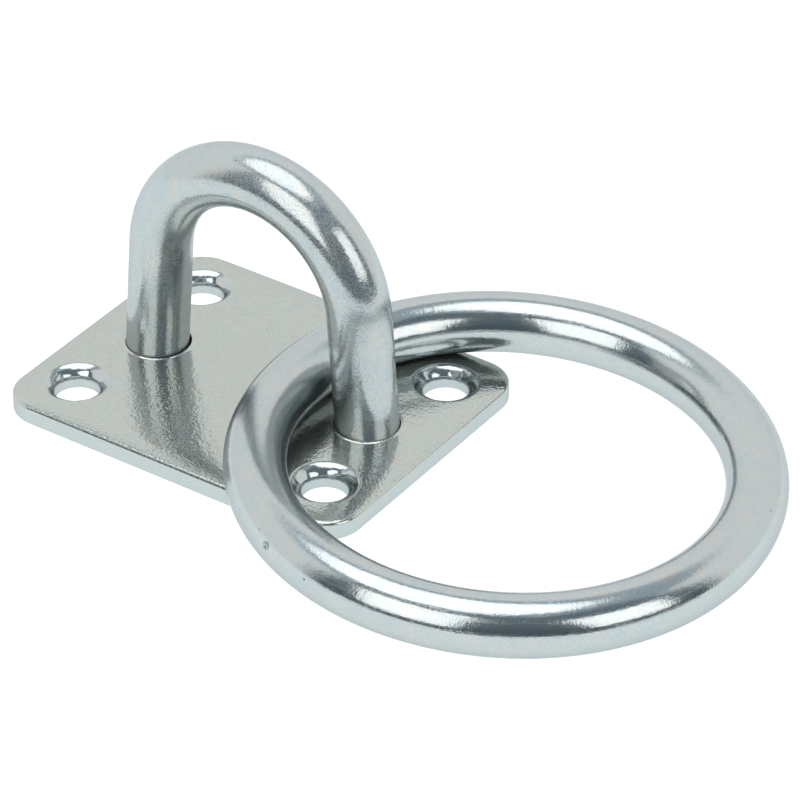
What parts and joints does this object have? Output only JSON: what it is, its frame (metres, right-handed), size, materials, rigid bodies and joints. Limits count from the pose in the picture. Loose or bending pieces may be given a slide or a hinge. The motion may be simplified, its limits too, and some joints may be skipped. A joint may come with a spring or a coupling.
{
  "type": "ring pad eye",
  "caption": "Stainless steel deck plate with a welded round-bar bow and a loose ring, screwed down as an anchor point for rope or shackles.",
  "frame": {"origin": "centre of the plate's underside, which is the face that lies on the deck", "axes": "+Z away from the deck, +X along the bow's plane from the left leg to the right leg and on towards the ring, +Y across the plate"},
  "size_m": [0.097, 0.0682, 0.0364],
  "materials": {
    "plate_steel": "tumble polished stainless steel, fine grain",
    "rod_steel": "bright polished stainless steel",
    "weld_metal": "ground weld, satin, faint heat tint"
  },
  "bodies": {
    "base": {"base_plate": "plate_steel", "bow": "rod_steel", "left_weld": "weld_metal", "right_weld": "weld_metal"},
    "ring": {"ring": "rod_steel"}
  },
  "joints": [
    {"name": "ring_swing", "type": "hinge", "parent": "base", "child": "ring", "pos_m": [0.007, -0.001, 0.00737], "axis": [0, -1, 0], "range_deg": [0, 186]}
  ]
}
